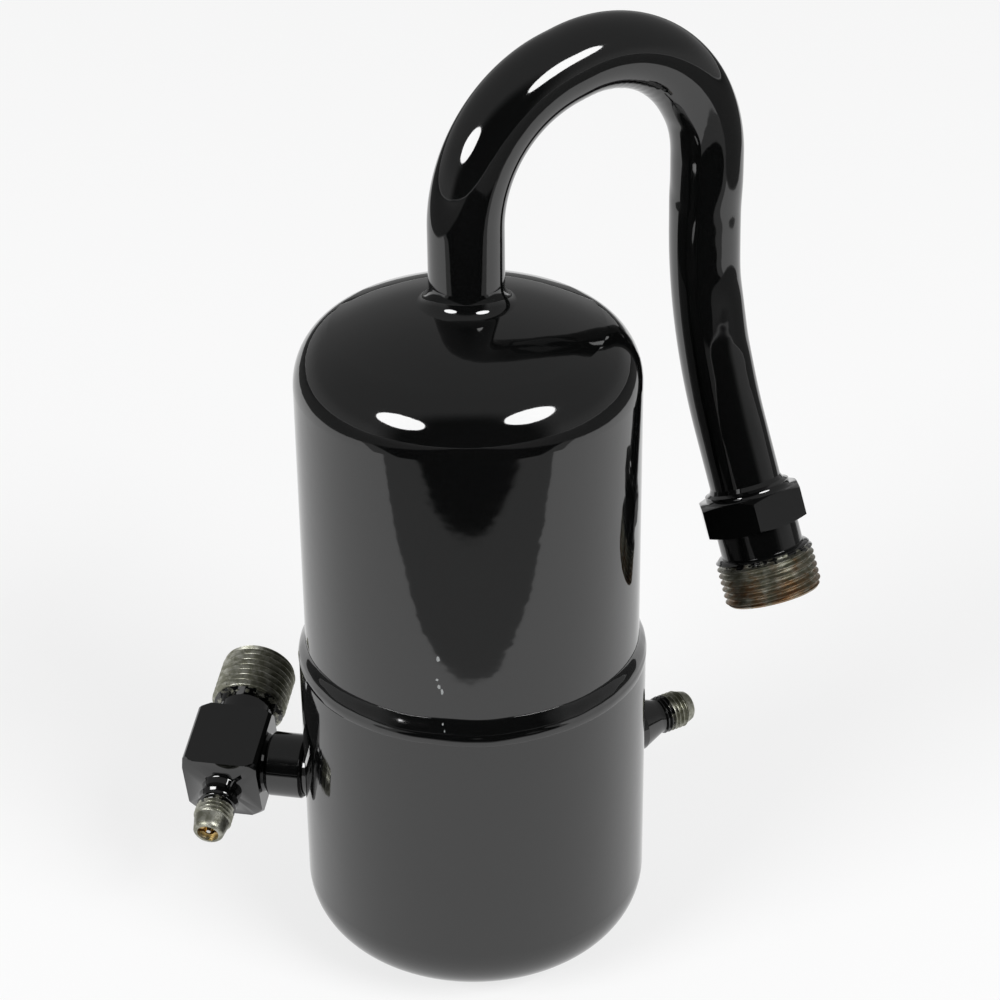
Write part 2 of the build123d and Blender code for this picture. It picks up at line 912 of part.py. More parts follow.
# Desiccant bag: filled felt bag with a flat sealed seam at each end
bag_reach = pickup_od / 2 + bag_gap + bag_thickness / 2
bag_centre = pickup_out * -bag_reach
bag_side = pickup_out.cross(Vector(0, 0, 1))
bag_plane = Plane(origin=bag_centre + Vector(0, 0, bag_bottom), x_dir=bag_side)
with BuildPart() as desiccant_bag:
    with BuildSketch(bag_plane):
        Ellipse(bag_width / 2, bag_thickness / 2)
    extrude(amount=bag_length)
    fillet(desiccant_bag.edges().filter_by(GeomType.ELLIPSE), bag_rounding)
    with BuildSketch(bag_plane.offset(-bag_seal_length)):
        RectangleRounded(bag_seal_width, bag_seal_thickness, bag_seal_edge)
    extrude(amount=bag_length + 2 * bag_seal_length)


def build_strap(height):
    """Tie round the bag and the tube's first leg."""
    strap_plane = Plane(origin=(0, 0, height), x_dir=bag_side)
    tube_hold = pickup_od / 2 + strap_clearance
    with BuildPart() as strap:
        with BuildSketch(strap_plane):
            Circle(tube_hold + strap_thickness)
            with Locations((0, -bag_reach)):
                Ellipse(
                    bag_width / 2 + strap_clearance + strap_thickness,
                    bag_thickness / 2 + strap_clearance + strap_thickness,
                )
            make_hull()
        extrude(amount=strap_width)
        with BuildSketch(strap_plane):
            Circle(tube_hold)
            with Locations((0, -bag_reach)):
                Ellipse(bag_width / 2 + strap_clearance, bag_thickness / 2 + strap_clearance)
            make_hull()
        extrude(amount=strap_width, mode=Mode.SUBTRACT)
    return strap


bag_strap_lower = build_strap(bag_bottom + strap_inset)
bag_strap_upper = build_strap(bag_bottom + bag_length - strap_inset - strap_width)

pieces = {
    "upper_shell": upper_shell,
    "lower_shell": lower_shell,
    "seam_weld": seam_weld,
    "outlet_tube": outlet_tube,
    "outlet_tube_braze": outlet_tube_braze,
    "outlet_fitting": outlet_fitting,
    "outlet_fitting_braze": outlet_fitting_braze,
    "inlet_stub": inlet_stub,
    "inlet_stub_braze": inlet_stub_braze,
    "inlet_block": inlet_block,
    "inlet_block_braze": inlet_block_braze,
    "switch_port": switch_port,
    "switch_port_braze": switch_port_braze,
    "pickup_tube": pickup_tube,
    "vapour_deflector": vapour_deflector,
    "deflector_weld": deflector_weld,
    "tube_clip": tube_clip,
    "strainer_body": strainer_body,
    "strainer_screen": strainer_screen,
    "desiccant_bag": desiccant_bag,
    "bag_strap_lower": bag_strap_lower,
    "bag_strap_upper": bag_strap_upper,
    **valve_pieces,
}
os.makedirs("parts", exist_ok=True)
for name, piece in pieces.items():
    piece.part.label = name
    export_step(piece.part, f"parts/{name}.step")
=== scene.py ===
import json
from math import cos, pi, radians, sin, tan

import bmesh
import bpy
from mathutils import Matrix, Vector, noise


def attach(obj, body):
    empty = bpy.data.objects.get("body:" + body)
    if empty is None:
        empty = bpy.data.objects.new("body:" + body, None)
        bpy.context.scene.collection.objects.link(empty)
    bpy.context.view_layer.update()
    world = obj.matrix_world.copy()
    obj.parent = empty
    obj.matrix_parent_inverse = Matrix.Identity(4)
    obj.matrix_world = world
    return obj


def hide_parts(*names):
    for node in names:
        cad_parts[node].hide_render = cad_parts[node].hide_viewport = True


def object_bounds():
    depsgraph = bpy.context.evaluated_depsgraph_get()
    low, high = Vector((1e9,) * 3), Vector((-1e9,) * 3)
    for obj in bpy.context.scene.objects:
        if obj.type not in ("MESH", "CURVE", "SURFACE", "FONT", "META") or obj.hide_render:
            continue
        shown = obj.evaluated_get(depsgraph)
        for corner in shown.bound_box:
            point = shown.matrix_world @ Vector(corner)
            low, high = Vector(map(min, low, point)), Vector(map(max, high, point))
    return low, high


# Receiver drier in gloss black paint, with bare threads.
# Metres. The origin is the centre of the can's foot, and the front looks along -Y.

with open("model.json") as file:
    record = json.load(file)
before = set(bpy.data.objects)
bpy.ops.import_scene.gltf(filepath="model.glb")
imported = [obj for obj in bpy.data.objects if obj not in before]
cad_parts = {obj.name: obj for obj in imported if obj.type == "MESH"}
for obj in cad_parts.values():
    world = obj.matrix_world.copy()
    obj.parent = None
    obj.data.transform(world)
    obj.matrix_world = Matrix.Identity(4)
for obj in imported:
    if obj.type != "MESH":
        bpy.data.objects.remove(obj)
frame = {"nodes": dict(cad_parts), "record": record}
cad_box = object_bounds()
scene = bpy.context.scene
scene.view_settings.view_transform = "Standard"
mounts = {mount["name"]: mount for mount in frame["record"]["mounts"]}


# Camera

camera_target = Vector((0.00638, 0.0, 0.11107))
camera_distance = 0.60704
camera_pitch = radians(29.302)
camera_roll = radians(0.588)
camera_lens_mm = 102.38
sensor_mm = 36.0


def build_camera():
    data = bpy.data.cameras.new("camera")
    data.sensor_width = sensor_mm
    data.lens = camera_lens_mm
    data.clip_start = 0.01
    camera = bpy.data.objects.new("camera", data)
    turned = Matrix.Rotation(pi / 2 - camera_pitch, 4, "X") @ Matrix.Rotation(-camera_roll, 4, "Z")
    back = turned.to_3x3() @ Vector((0, 0, camera_distance))
    camera.matrix_world = Matrix.Translation(camera_target + back) @ turned
    scene.collection.objects.link(camera)
    scene.camera = camera


# Shader nodes


class Recipe:
    """A material whose nodes are added by short calls. A socket is linked, and a value is set."""

    def __init__(self, name):
        self.material = bpy.data.materials.new(name)
        self.material.use_nodes = True
        self.tree = self.material.node_tree
        self.shader = self.tree.nodes["Principled BSDF"]
        self.place = self.add("ShaderNodeTexCoord").outputs["Object"]

    def add(self, kind, settings=None, **inputs):
        node = self.tree.nodes.new(kind)
        for name, value in (settings or {}).items():
            setattr(node, name, value)
        for name, value in inputs.items():
            self.put(node.inputs[name.replace("_", " ")], value)
        return node

    def put(self, socket, value):
        if isinstance(value, bpy.types.NodeSocket):
            self.tree.links.new(value, socket)
        else:
            socket.default_value = value

    def finish(self, **inputs):
        for name, value in inputs.items():
            self.put(self.shader.inputs[name.replace("_", " ")], value)
        return self.material

    def math(self, operation, first, second=0.0, clamp=False):
        node = self.tree.nodes.new("ShaderNodeMath")
        node.operation = operation
        node.use_clamp = clamp
        self.put(node.inputs[0], first)
        self.put(node.inputs[1], second)
        return node.outputs[0]

    def noise(self, size, detail=2.0, roughness=0.5, place=None):
        return self.add(
            "ShaderNodeTexNoise",
            Vector=place or self.place,
            Scale=1 / size,
            Detail=detail,
            Roughness=roughness,
        ).outputs["Fac"]

    def stretched(self, factors):
        node = self.tree.nodes.new("ShaderNodeVectorMath")
        node.operation = "MULTIPLY"
        self.put(node.inputs[0], self.place)
        node.inputs[1].default_value = factors
        return node.outputs[0]

    def along(self, origin, axis):
        """Distance along an axis from a point on it."""
        offset = self.tree.nodes.new("ShaderNodeVectorMath")
        offset.operation = "SUBTRACT"
        self.put(offset.inputs[0], self.place)
        offset.inputs[1].default_value = origin
        dot = self.tree.nodes.new("ShaderNodeVectorMath")
        dot.operation = "DOT_PRODUCT"
        self.put(dot.inputs[0], offset.outputs[0])
        dot.inputs[1].default_value = axis
        return dot.outputs["Value"]

    def step(self, value, low, high):
        """0 below low and 1 above high, eased between them. Low may be the larger."""
        node = self.add("ShaderNodeMapRange", {"interpolation_type": "SMOOTHSTEP"}, Value=value)
        node.inputs["From Min"].default_value = min(low, high)
        node.inputs["From Max"].default_value = max(low, high)
        node.inputs["To Min"].default_value = 0.0 if low < high else 1.0
        node.inputs["To Max"].default_value = 1.0 if low < high else 0.0
        return node.outputs["Result"]

    def mix(self, factor, first, second):
        """Mixes two colours or sockets."""
        node = self.tree.nodes.new("ShaderNodeMix")
        node.data_type = "RGBA"
        self.put(node.inputs["Factor"], factor)
        self.put(node.inputs[6], opaque(first))
        self.put(node.inputs[7], opaque(second))
        return node.outputs[2]

    def blend(self, factor, first, second):
        """Mixes two numbers or sockets."""
        node = self.tree.nodes.new("ShaderNodeMix")
        node.data_type = "FLOAT"
        self.put(node.inputs["Factor"], factor)
        self.put(node.inputs[2], first)
        self.put(node.inputs[3], second)
        return node.outputs[0]

    def bump(self, height, depth, under=None):
        node = self.add("ShaderNodeBump", Height=height, Distance=depth)
        if under:
            self.put(node.inputs["Normal"], under)
        return node.outputs["Normal"]


def opaque(colour):
    if isinstance(colour, tuple) and len(colour) == 3:
        return (*colour, 1.0)
    return colour


# Room: a pale floor, a dim ceiling, two round lamps in front, and a dark sheet that only reflections see, as a
# painted reflection of a dark room

floor_half_width = 5.0
floor_colour = (0.90, 0.902, 0.905)
floor_white_share = 0.7
table_edge_y = -0.172
table_drop_y = -0.248
table_half_width = 0.42
table_back_y = 0.75
room_reach = 4.0
painted_reflection_lift = 0.0005
# drop_shade, room_shade and side_shade are painted shade on the sheet that only reflections see
drop_shade = 0.3
room_shade = 0.004
side_shade = 0.12
ceiling_shade = 0.25
horizon_shade = 0.35
lamp_distance = 4.0
lamp_half_width = radians(16.0)
lamp_half_height = radians(10.5)
lamp_watts = 122.0
lamp_target = Vector((0.0, -0.032, 0.147))
lamp_places = {
    "lamp_left": (radians(-137.5), radians(29.5)),
    "lamp_right": (radians(-42.7), radians(37.9)),
}


def flat_sheet(name, panels, height):
    """Level rectangles, each from its low corner to its high corner."""
    points = []
    faces = []
    for (x0, y0), (x1, y1) in panels:
        first = len(points)
        points += [(x0, y0, height), (x1, y0, height), (x1, y1, height), (x0, y1, height)]
        faces.append((first, first + 1, first + 2, first + 3))
    mesh = bpy.data.meshes.new(name)
    mesh.from_pydata(points, [], faces)
    sheet = bpy.data.objects.new(name, mesh)
    scene.collection.objects.link(sheet)
    return sheet


def build_floor():
    reach = floor_half_width
    floor = flat_sheet("floor", [((-reach, -reach), (reach, reach))], cad_box[0][2])
    paper = Recipe("floor_paper")
    mottle = paper.noise(0.05, detail=3)
    colour = paper.mix(mottle, floor_colour, tuple(value * 0.985 for value in floor_colour))
    paper.finish(Base_Color=colour, Roughness=0.9)
    rays = paper.add("ShaderNodeLightPath").outputs
    seen = paper.math("MAXIMUM", rays["Is Camera Ray"], rays["Is Glossy Ray"])
    seen = paper.math("MAXIMUM", seen, rays["Is Transmission Ray"])
    white = paper.add("ShaderNodeEmission", Strength=1.0)
    lit = paper.add("ShaderNodeMixShader", Fac=paper.math("MULTIPLY", seen, floor_white_share))
    output = paper.tree.nodes["Material Output"]
    paper.tree.links.new(paper.shader.outputs["BSDF"], lit.inputs[1])
    paper.tree.links.new(white.outputs["Emission"], lit.inputs[2])
    paper.tree.links.new(lit.outputs["Shader"], output.inputs["Surface"])
    floor.data.materials.append(paper.material)


def build_painted_reflection_sheet():
    """A dark sheet round the white table, which only reflections see: a painted reflection of a dark room, with
    painted shade past the table's edge and beyond its sides.
    """
    side = table_half_width
    reach = room_reach
    panels = [
        ((-reach, -reach), (reach, table_edge_y)),
        ((-reach, table_edge_y), (-side, reach)),
        ((side, table_edge_y), (reach, reach)),
        ((-side, table_back_y), (side, reach)),
    ]
    sheet = flat_sheet("painted_reflection_sheet", panels, cad_box[0][2] + painted_reflection_lift)
    reflection_paint = Recipe("painted_reflection_sheet")
    # Painted shade in reflections: drop_shade between the table's edge and its drop, room_shade beyond the drop,
    # side_shade past the sides
    beyond = reflection_paint.along((0, table_drop_y, 0), (0, -1, 0))
    factor = reflection_paint.step(beyond, -0.004, 0.004)
    shade = reflection_paint.mix(factor, (drop_shade,) * 3, (room_shade,) * 3)
    outside = reflection_paint.math("ABSOLUTE", reflection_paint.along((0, 0, 0), (1, 0, 0)))
    shade = reflection_paint.mix(reflection_paint.step(outside, side, side + 0.02), shade, (side_shade,) * 3)
    sheet.data.materials.append(reflection_paint.finish(Base_Color=shade, Roughness=1.0, Specular_IOR_Level=0.0))
    sheet.visible_camera = False
    sheet.visible_diffuse = False
    sheet.visible_shadow = False


def build_world():
    world = bpy.data.worlds.new("room")
    world.use_nodes = True
    scene.world = world
    tree = world.node_tree
    background = tree.nodes["Background"]
    direction = tree.nodes.new("ShaderNodeTexCoord").outputs["Generated"]
    split = tree.nodes.new("ShaderNodeSeparateXYZ")
    tree.links.new(direction, split.inputs[0])

    def step(value, low, high, to_low, to_high):
        node = tree.nodes.new("ShaderNodeMapRange")
        node.interpolation_type = "SMOOTHSTEP"
        tree.links.new(value, node.inputs["Value"])
        node.inputs["From Min"].default_value = low
        node.inputs["From Max"].default_value = high
        node.inputs["To Min"].default_value = to_low
        node.inputs["To Max"].default_value = to_high
        return node.outputs["Result"]

    up = step(split.outputs["Z"], 0.0, 0.3, horizon_shade, ceiling_shade)
    away = step(split.outputs["Y"], -0.75, -0.45, 0.03, 1.0)
    product = tree.nodes.new("ShaderNodeMath")
    product.operation = "MULTIPLY"
    tree.links.new(up, product.inputs[0])
    tree.links.new(away, product.inputs[1])
    tree.links.new(product.outputs[0], background.inputs["Color"])


def build_lamps():
    for name, (azimuth, elevation) in lamp_places.items():
        data = bpy.data.lights.new(name, "AREA")
        data.shape = "ELLIPSE"
        data.size = 2 * lamp_distance * tan(lamp_half_width)
        data.size_y = 2 * lamp_distance * tan(lamp_half_height)
        data.energy = lamp_watts
        lamp = bpy.data.objects.new(name, data)
        outward = Vector((cos(azimuth) * cos(elevation), sin(azimuth) * cos(elevation), sin(elevation)))
        lamp.location = lamp_target + outward * lamp_distance
        lamp.rotation_mode = "QUATERNION"
        lamp.rotation_quaternion = outward.to_track_quat("Z", "Y")
        scene.collection.objects.link(lamp)


# Paint and metals

paint_black = (0.0018, 0.0019, 0.0019)
paint_roughness = 0.045
paint_index = 1.68
peel_size = 0.0035
peel_depth = 0.000014
wave_size = 0.016
wave_depth = 0.00006
bare_steel = (0.21, 0.21, 0.165)
bright_steel = (0.40, 0.40, 0.35)
rust_brown = (0.24, 0.135, 0.06)
chip_grey = (0.22, 0.23, 0.23)


def paint_film(recipe):
    """The normal of sprayed paint: slow waves with a finer peel on them."""
    waves = recipe.bump(recipe.noise(wave_size, detail=1), wave_depth)
    return recipe.bump(recipe.noise(peel_size, detail=1), peel_depth, under=waves)


def chip_mask(paint, chips):
    """1 on small chips in the paint. Each has a place, a half width and a half height."""
    ragged = paint.math("MULTIPLY", paint.noise(0.0005, detail=2), 0.9)
    mask = 0.0
    for azimuth, radius, height, half_width, half_height in chips:
        centre = (radius * cos(radians(azimuth)), radius * sin(radians(azimuth)), height)
        offset = paint.add("ShaderNodeVectorMath", {"operation": "SUBTRACT"})
        paint.put(offset.inputs[0], paint.place)
        offset.inputs[1].default_value = centre
        shrunk = paint.add("ShaderNodeVectorMath", {"operation": "MULTIPLY"})
        paint.put(shrunk.inputs[0], offset.outputs[0])
        shrunk.inputs[1].default_value = (1 / half_width, 1 / half_width, 1 / half_height)
        length = paint.add("ShaderNodeVectorMath", {"operation": "LENGTH"})
        paint.put(length.inputs[0], shrunk.outputs[0])
        spread = paint.math("ADD", length.outputs["Value"], ragged)
        mask = paint.math("MAXIMUM", mask, paint.step(spread, 1.5, 1.1))
    return mask


def black_paint(name="black_paint", chips=()):
    paint = Recipe(name)
    tint = paint.mix(paint.noise(0.03), paint_black, tuple(value * 1.6 for value in paint_black))
    haze = paint.blend(paint.noise(0.02, detail=4), paint_roughness * 0.7, paint_roughness * 1.4)
    if chips:
        mask = chip_mask(paint, chips)
        tint = paint.mix(mask, tint, chip_grey)
        haze = paint.blend(mask, haze, 0.5)
    return paint.finish(Base_Color=tint, Roughness=haze, IOR=paint_index, Normal=paint_film(paint))


def part_bare(name, ends, rust=0.0):
    """Paint that stops along the axis of each mount in ends, with bare thread beyond it."""
    paint = Recipe(name)
    fray = paint.noise(0.0016, detail=3)
    bare = 0.0
    for mount_name, start in ends:
        mount = mounts[mount_name]
        distance = paint.along(mount["pos_m"], mount["axis"])
        ragged = paint.math("ADD", distance, paint.math("MULTIPLY", paint.math("SUBTRACT", fray, 0.5), 0.004))
        edge = paint.step(ragged, start, start + 0.0004)
        bare = paint.math("MAXIMUM", bare, edge)
    stain = paint.step(paint.noise(0.0022, detail=5, roughness=0.65), 0.42, 0.62)
    metal = paint.mix(stain, bare_steel, bright_steel)
    if rust:
        mount = mounts[ends[0][0]]
        reach = mount["dims"]["length_mm"] / 1000
        toward_end = paint.step(paint.along(mount["pos_m"], mount["axis"]), -reach, reach * 1.1)
        patches = paint.noise(0.0035, detail=6, roughness=0.7)
        amount = paint.math("ADD", patches, paint.math("MULTIPLY", toward_end, 0.3))
        metal = paint.mix(paint.math("MULTIPLY", paint.step(amount, 0.55, 0.85), rust), metal, rust_brown)
    colour = paint.mix(bare, paint_black, metal)
    rough = paint.blend(bare, paint_roughness, 0.42)
    fine = paint.bump(paint.math("MULTIPLY", bare, paint.noise(0.0004, detail=3)), 0.00003, under=paint_film(paint))
    return paint.finish(Base_Color=colour, Metallic=bare, Roughness=rough, IOR=paint_index, Normal=fine)


def worn_metal(name, colour, roughness, grain=0.0006):
    """Bare metal inside the valves and the can: slightly stained, with a fine turned grain."""
    metal = Recipe(name)
    stain = metal.noise(0.002, detail=4)
    shade = metal.mix(stain, colour, tuple(value * 0.7 for value in colour))
    rough = metal.blend(metal.noise(grain, detail=2), roughness * 0.75, roughness * 1.25)
    normal = metal.bump(metal.noise(grain, detail=2), 0.000008)
    return metal.finish(Base_Color=shade, Metallic=1.0, Roughness=rough, Normal=normal)


def dull_surface(name, colour, roughness, grain, depth):
    """Rubber, felt, nylon and strap, told apart by the size and depth of their grain."""
    skin = Recipe(name)
    grains = skin.noise(grain, detail=3)
    shade = skin.mix(grains, colour, tuple(value * 0.8 for value in colour))
    normal = skin.bump(grains, depth)
    return skin.finish(Base_Color=shade, Roughness=roughness, Normal=normal)


def slot_materials():
    """One material for each slot of the record."""
    return {
        "black_paint": black_paint(),
        "braze_metal": worn_metal("braze_metal", (0.55, 0.42, 0.22), 0.4),
        "core_brass": worn_metal("core_brass", (0.62, 0.42, 0.17), 0.3),
        "pin_steel": worn_metal("pin_steel", (0.72, 0.71, 0.68), 0.18),
        "spring_steel": worn_metal("spring_steel", (0.55, 0.55, 0.56), 0.3),
        "aluminium_tube": worn_metal("aluminium_tube", (0.76, 0.76, 0.77), 0.35, grain=0.002),
        "plain_steel": worn_metal("plain_steel", (0.45, 0.45, 0.45), 0.45, grain=0.003),
        "mesh_steel": worn_metal("mesh_steel", (0.5, 0.5, 0.49), 0.4, grain=0.0005),
        "seal_rubber": dull_surface("seal_rubber", (0.02, 0.02, 0.02), 0.6, 0.0004, 0.00001),
        "white_nylon": dull_surface("white_nylon", (0.82, 0.81, 0.76), 0.4, 0.004, 0.00002),
        "felt": dull_surface("felt", (0.70, 0.68, 0.62), 0.95, 0.0007, 0.0002),
        "strap_nylon": dull_surface("strap_nylon", (0.75, 0.74, 0.70), 0.5, 0.001, 0.00005),
    }


# Threads

outlet_pitch = 0.0015
inlet_pitch = 0.0015875
port_pitch = 0.00106
thread_depth_share = 0.62
thread_sides = 120
crease_angle = radians(14)
weld_distance = 1e-7
rim_tolerance = 2e-5

# One pitch of thread, as share of the pitch and height: crest, flank, root, flank
thread_profile = (
    (0.00, 0.90),
    (0.03, 1.00),
    (0.09, 1.00),
    (0.12, 0.90),
    (0.43, 0.08),
    (0.50, 0.00),
    (0.62, 0.00),
    (0.69, 0.08),
)


def cut_thread(mesh, mount, pitch):
    """Takes the plain cylinder of a mount off a mesh and closes the gap with a helical thread."""
    origin = Vector(mount["pos_m"])
    axis = Vector(mount["axis"]).normalized()
    outer = mount["dims"]["r_mm"] / 1000
    reach = mount["dims"]["length_mm"] / 2000 + rim_tolerance
    side = axis.orthogonal().normalized()
    across = axis.cross(side)

    def place(vertex):
        offset = vertex.co - origin
        distance = offset.dot(axis)
        return distance, (offset - axis * distance).length

    spots = {vertex: place(vertex) for vertex in mesh.verts}
    rim = {
        vertex
        for vertex, (distance, radius) in spots.items()
        if abs(radius - outer) < rim_tolerance and abs(distance) < reach
    }
    old_faces = [face for face in mesh.faces if any(vertex in rim for vertex in face.verts)]
    touched = {spots[vertex] for face in old_faces for vertex in face.verts}
    start, start_radius = min(touched)
    end, end_radius = max(touched)
    start_radius = min(radius for distance, radius in touched if distance < start + rim_tolerance)
    full_end = max(spots[vertex][0] for vertex in rim)
    end_radius = min(radius for distance, radius in touched if distance > end - rim_tolerance)
    bmesh.ops.delete(mesh, geom=old_faces, context="FACES")

    depth = pitch * thread_depth_share
    slope = (outer - end_radius) / max(end - full_end, rim_tolerance)

    def crest_limit(distance):
        fade_in = start_radius + (distance - start) * 1.2
        chamfer = outer - max(0.0, distance - full_end) * slope
        return max(min(outer, fade_in, chamfer), outer - depth if distance < full_end else end_radius)

    turns = int((end - start) / pitch) + 3
    rows = []
    for turn in range(-1, turns):
        for share, height in thread_profile:
            row = []
            for step in range(thread_sides):
                angle = 2 * pi * step / thread_sides
                distance = start + (turn + share + step / thread_sides) * pitch
                distance = min(max(distance, start), end)
                radius = min(outer - depth + depth * height, crest_limit(distance))
                if distance <= start:
                    radius = start_radius
                if distance >= end:
                    radius = end_radius
                spoke = side * cos(angle) + across * sin(angle)
                row.append(mesh.verts.new(origin + axis * distance + spoke * radius))
            rows.append(row)
    faces = []
    for lower, upper in zip(rows, rows[1:]):
        for step in range(thread_sides - 1):
            faces.append((lower[step], lower[step + 1], upper[step + 1], upper[step]))
    per_turn = len(thread_profile)
    for number in range(len(rows) - per_turn - 1):
        last = thread_sides - 1
        lower, upper = rows[number], rows[number + 1]
        next_lower, next_upper = rows[number + per_turn], rows[number + per_turn + 1]
        faces.append((lower[last], next_lower[0], next_upper[0], upper[last]))
    for corners in faces:
        mesh.faces.new(corners)


def thread_node(node_name, threads, material):
    """A copy of a CAD node whose plain thread cylinders are real threads."""
    source = frame["nodes"][node_name]
    mesh = bmesh.new()
    mesh.from_mesh(source.data)
    bmesh.ops.remove_doubles(mesh, verts=mesh.verts, dist=weld_distance)
    for mount_name, pitch in threads:
        cut_thread(mesh, mounts[mount_name], pitch)
    bmesh.ops.remove_doubles(mesh, verts=mesh.verts, dist=weld_distance)
    bmesh.ops.dissolve_degenerate(mesh, edges=mesh.edges, dist=weld_distance)
    bmesh.ops.recalc_face_normals(mesh, faces=mesh.faces)
    data = bpy.data.meshes.new(node_name + "_threaded")
    mesh.to_mesh(data)
    mesh.free()
    data.shade_smooth()
    data.set_sharp_from_angle(angle=crease_angle)
    data.materials.clear()
    data.materials.append(material)
    for polygon in data.polygons:
        polygon.material_index = 0
    piece = bpy.data.objects.new(node_name + "_threaded", data)
    scene.collection.objects.link(piece)
    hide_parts(node_name)
    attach(piece, "canister")
    return piece


# Seam

bead_steps = 420
bead_rows = 28
bead_edge_wave = 0.00028
bead_ripple = 0.00009
bead_valley_depth = 0.00008
bead_valley_place = 0.66
bead_valley_width = 0.09
wall_chips = (
    (-100.55, 0.03655, 0.0939, 0.00045, 0.0007),
    (-101.04, 0.03655, 0.0888, 0.00035, 0.0003),
    (-100.43, 0.03655, 0.0871, 0.0004, 0.0006),
    (-99.48, 0.03655, 0.0859, 0.00032, 0.0008),
)
bead_chips = (
    (-99.3, 0.0370, 0.0778, 0.00022, 0.0009),
    (-98.6, 0.0376, 0.0762, 0.00022, 0.0011),
)


def ring_wave(angle, size, seed, radius):
    """Smooth noise round a ring, the same where the ring closes."""
    place = Vector((cos(angle) * radius / size, sin(angle) * radius / size, seed))
    return noise.noise(place)


def build_seam_bead(material):
    """The lap weld under its paint: the solid's section, with ripples and a wavy edge."""
    source = frame["nodes"]["seam_weld"]
    spots = [(vertex.co.z, vertex.co.xy.length) for vertex in source.data.vertices]
    low_z = min(spots)[0]
    high_z = max(spots)[0]
    middle = [spot for spot in spots if low_z < spot[0] < high_z]
    root_radius = min(radius for height, radius in middle)
    root_z = max(height for height, radius in middle if radius < root_radius + rim_tolerance)
    outer = {}
    for height, radius in spots:
        key = round(height, 6)
        outer[key] = max(radius, outer.get(key, 0.0))
    section = sorted(outer.items())
    largest, crest_z = max((radius, height) for height, radius in section)
    top_radius = section[-1][1]
    toe_radius = section[0][1]

    def outer_radius(height):
        """A straight slope down to the crest and a round toe under it, close to the solid's curve."""
        if height >= crest_z:
            share = (high_z - height) / (high_z - crest_z)
            return top_radius + (largest - top_radius) * sin(pi / 2 * share ** 1.15) ** 1.1
        share = (crest_z - height) / (crest_z - low_z)
        return largest - (largest - toe_radius) * share**2

    mesh = bmesh.new()
    rows = []
    for row in range(bead_rows + 1):
        share = row / bead_rows
        ring = []
        for step in range(bead_steps):
            angle = 2 * pi * step / bead_steps
            wave_up = bead_edge_wave * ring_wave(angle, 0.009, 3.1, largest)
            wave_down = bead_edge_wave * (ring_wave(angle, 0.012, 7.7, largest) - 1)
            height = high_z + (low_z - high_z) * share
            radius = outer_radius(height)
            height += wave_up * (1 - share) + wave_down * share
            swell = sin(pi * share)
            ripple = ring_wave(angle, 0.0035, 11.0 + share * 0.8, largest) * bead_ripple
            place = bead_valley_place + 0.06 * ring_wave(angle, 0.014, 17.0, largest)
            valley = 2.718 ** -(((share - place) / bead_valley_width) ** 2) * bead_valley_depth
            radius = min(radius + (ripple - 0.00003) * swell - valley, largest)
            ring.append(mesh.verts.new((radius * cos(angle), radius * sin(angle), height)))
        rows.append(ring)
    for radius in (root_radius + 0.0003, root_radius):
        ring = []
        for step in range(bead_steps):
            angle = 2 * pi * step / bead_steps
            ring.append(mesh.verts.new((radius * cos(angle), radius * sin(angle), root_z)))
        rows.append(ring)
    for lower, upper in zip(rows, rows[1:] + rows[:1]):
        for step in range(bead_steps):
            after = (step + 1) % bead_steps
            mesh.faces.new((lower[step], lower[after], upper[after], upper[step]))
    bmesh.ops.recalc_face_normals(mesh, faces=mesh.faces)
    data = bpy.data.meshes.new("seam_weld_bead")
    mesh.to_mesh(data)
    mesh.free()
    data.shade_smooth()
    data.materials.append(material)
    piece = bpy.data.objects.new("seam_weld_bead", data)
    scene.collection.objects.link(piece)
    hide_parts("seam_weld")
    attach(piece, "canister")
    return piece


# Gooseneck

neck_corner = Vector((0, 0, 0.1981))
arch_azimuth = radians(33.3)
arch_reach = 0.0605
arch_corner_z = 0.2123
kink_azimuth = radians(32.4)
kink_reach = 0.061
kink_corner_z = 0.1366
tail_azimuth = radians(-52.5)
tail_tilt = radians(24.3)
tail_length = 0.0447
bend_radii = (0.0299, 0.0284, 0.110)
tube_start_z = 0.1493
tube_radius = 0.00793
tube_bore_radius = 0.00644
tube_spacing = 0.0009
tube_sides = 96
bore_sides = 48

# Dents that the bending left: place, side that they face, depth, reach along and reach round
tube_dents = (
    (Vector((0.0560, 0.0290, 0.1560)), Vector((0.75, -0.60, 0.20)), 0.00042, 0.0052, 0.50),
    (Vector((0.0570, 0.0280, 0.1425)), Vector((0.65, -0.70, 0.25)), 0.00030, 0.0046, 0.45),
    (Vector((0.0500, 0.0300, 0.1490)), Vector((0.10, -0.95, 0.20)), 0.00018, 0.0060, 0.40),
    (Vector((0.0440, 0.0270, 0.1760)), Vector((-0.85, -0.50, 0.00)), 0.00028, 0.0024, 0.30),
    (Vector((0.0300, 0.0150, 0.1960)), Vector((-0.30, -0.30, -0.90)), 0.00012, 0.0040, 0.50),
)
wrinkle_place = Vector((0.0300, 0.0190, 0.1950))
wrinkle_side = Vector((-0.10, -0.45, -0.90))
wrinkle_depth = 0.00007
wrinkle_pitch = 0.0016
wrinkle_reach = 0.0030


def heading(azimuth, elevation=0.0):
    level = cos(elevation)
    return Vector((cos(azimuth) * level, sin(azimuth) * level, sin(elevation)))


